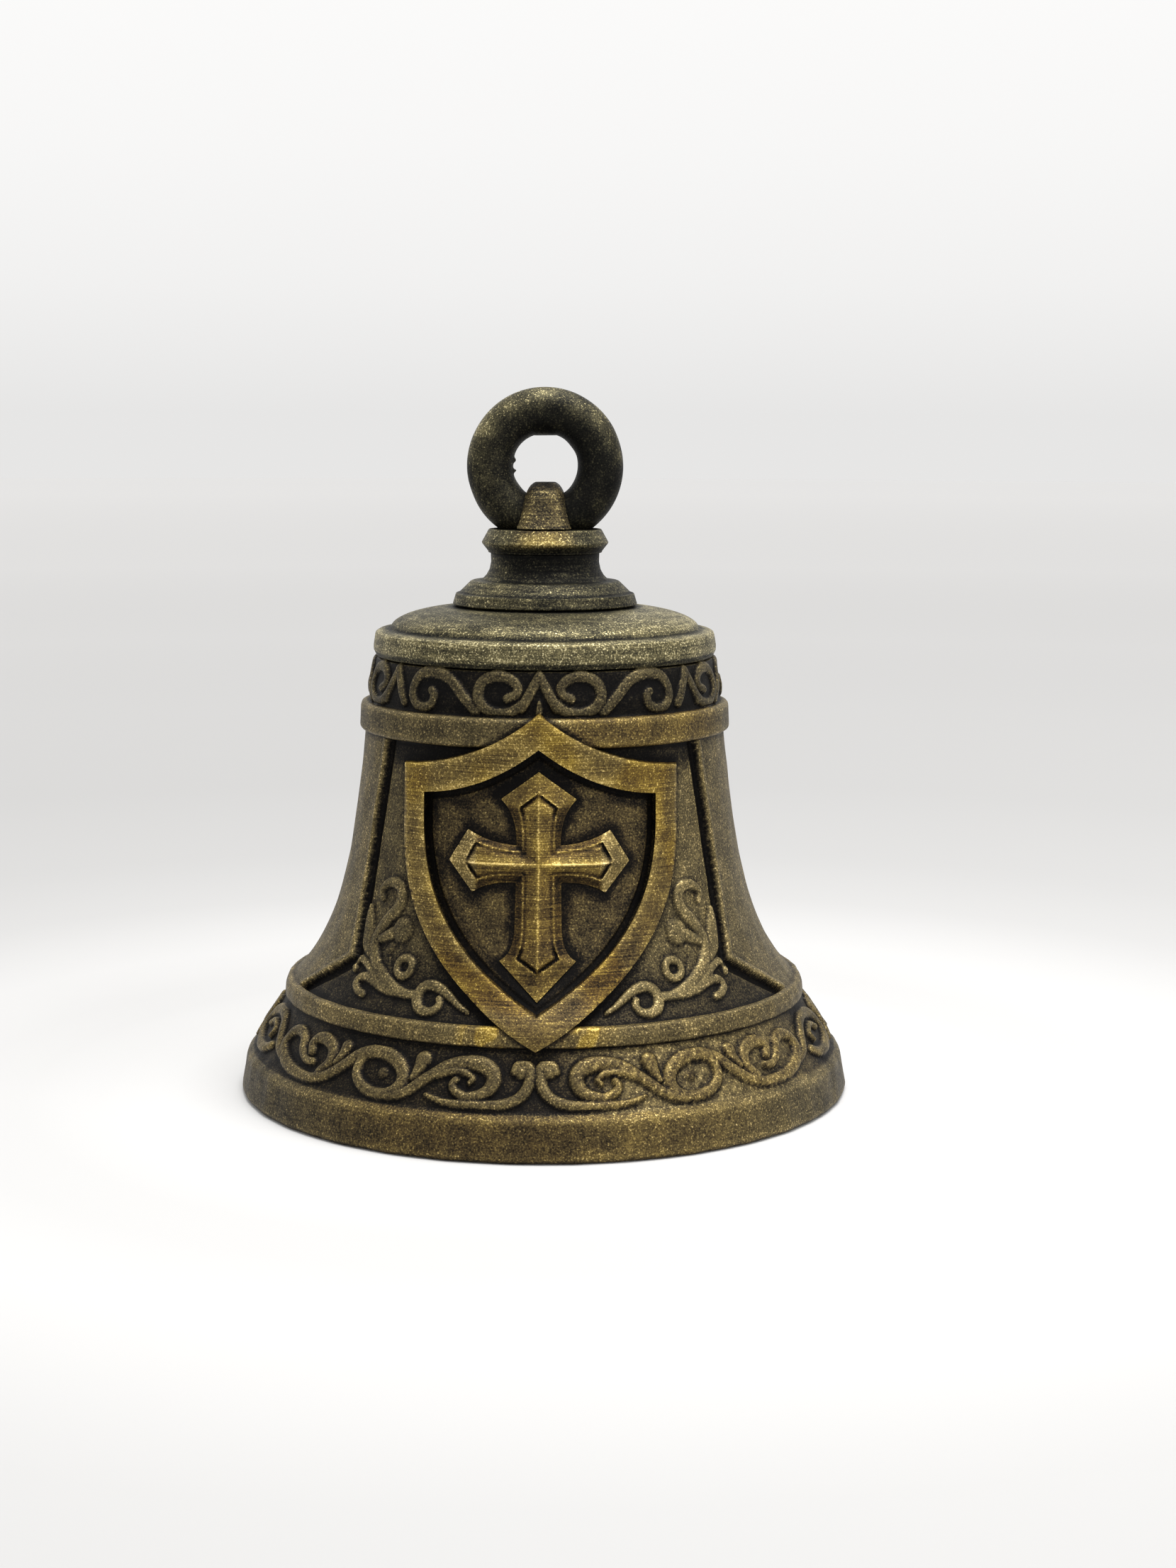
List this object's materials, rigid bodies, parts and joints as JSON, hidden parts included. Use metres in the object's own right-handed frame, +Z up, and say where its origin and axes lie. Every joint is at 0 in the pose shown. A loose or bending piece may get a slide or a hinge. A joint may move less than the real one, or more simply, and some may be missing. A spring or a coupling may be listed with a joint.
{
  "type": "church bell",
  "caption": "Flared cast bell standing on its rim, with scroll bands, shields with raised crosses, a domed cap, a tilting closed hanging ring and a free clapper.",
  "frame": {"origin": "centre of the rim's lower face, which the bell stands on", "axes": "+Z up along the bell's axis, -Y towards the front shield, +X to the viewer's right"},
  "size_m": [0.1, 0.1, 0.1142],
  "materials": {
    "cast_bronze": "near-black antique patina, dry-brushed bronze on raised scrolls and mouldings",
    "turned_bronze": "dark patina with fine level lines and worn bronze edges",
    "ring_bronze": "dark, slightly rough patina with bronze specks",
    "gilded_bronze": "dry-brushed gold over dark patina, with fine level lines",
    "rivet_brass": "dull brass",
    "steel": "dark oiled steel",
    "clapper_iron": "blackened iron, worn bright where it strikes"
  },
  "bodies": {
    "bell": {"bell_body": "cast_bronze", "shoulder_cap": "turned_bronze", "neck_stem": "turned_bronze", "ring_saddle": "ring_bronze", "saddle_pin_front": "steel", "saddle_pin_back": "steel", "shield_front": "gilded_bronze", "cross_front": "gilded_bronze", "shield_rivet_front_1": "rivet_brass", "shield_rivet_front_2": "rivet_brass", "shield_rivet_front_3": "rivet_brass", "shield_rivet_front_4": "rivet_brass", "cross_rivet_front_1": "rivet_brass", "cross_rivet_front_2": "rivet_brass", "shield_back": "gilded_bronze", "cross_back": "gilded_bronze", "shield_rivet_back_1": "rivet_brass", "shield_rivet_back_2": "rivet_brass", "shield_rivet_back_3": "rivet_brass", "shield_rivet_back_4": "rivet_brass", "cross_rivet_back_1": "rivet_brass", "cross_rivet_back_2": "rivet_brass", "crown_staple": "steel", "staple_washer": "steel", "staple_nut": "steel", "clapper_pin": "steel", "pin_collar": "steel"},
    "ring": {"hanging_ring": "ring_bronze"},
    "clapper": {"clapper_shank": "clapper_iron", "clapper_ball": "clapper_iron", "clapper_tail": "clapper_iron"}
  },
  "joints": [
    {"name": "ring_tilt", "type": "hinge", "parent": "bell", "child": "ring", "pos_m": [0, 0, 0.09265], "axis": [1, 0, 0], "range_deg": [-30, 30]},
    {"name": "clapper_swing", "type": "hinge", "parent": "bell", "child": "clapper", "pos_m": [0, 0, 0.055], "axis": [0, 1, 0], "range_deg": [-39, 39]}
  ]
}
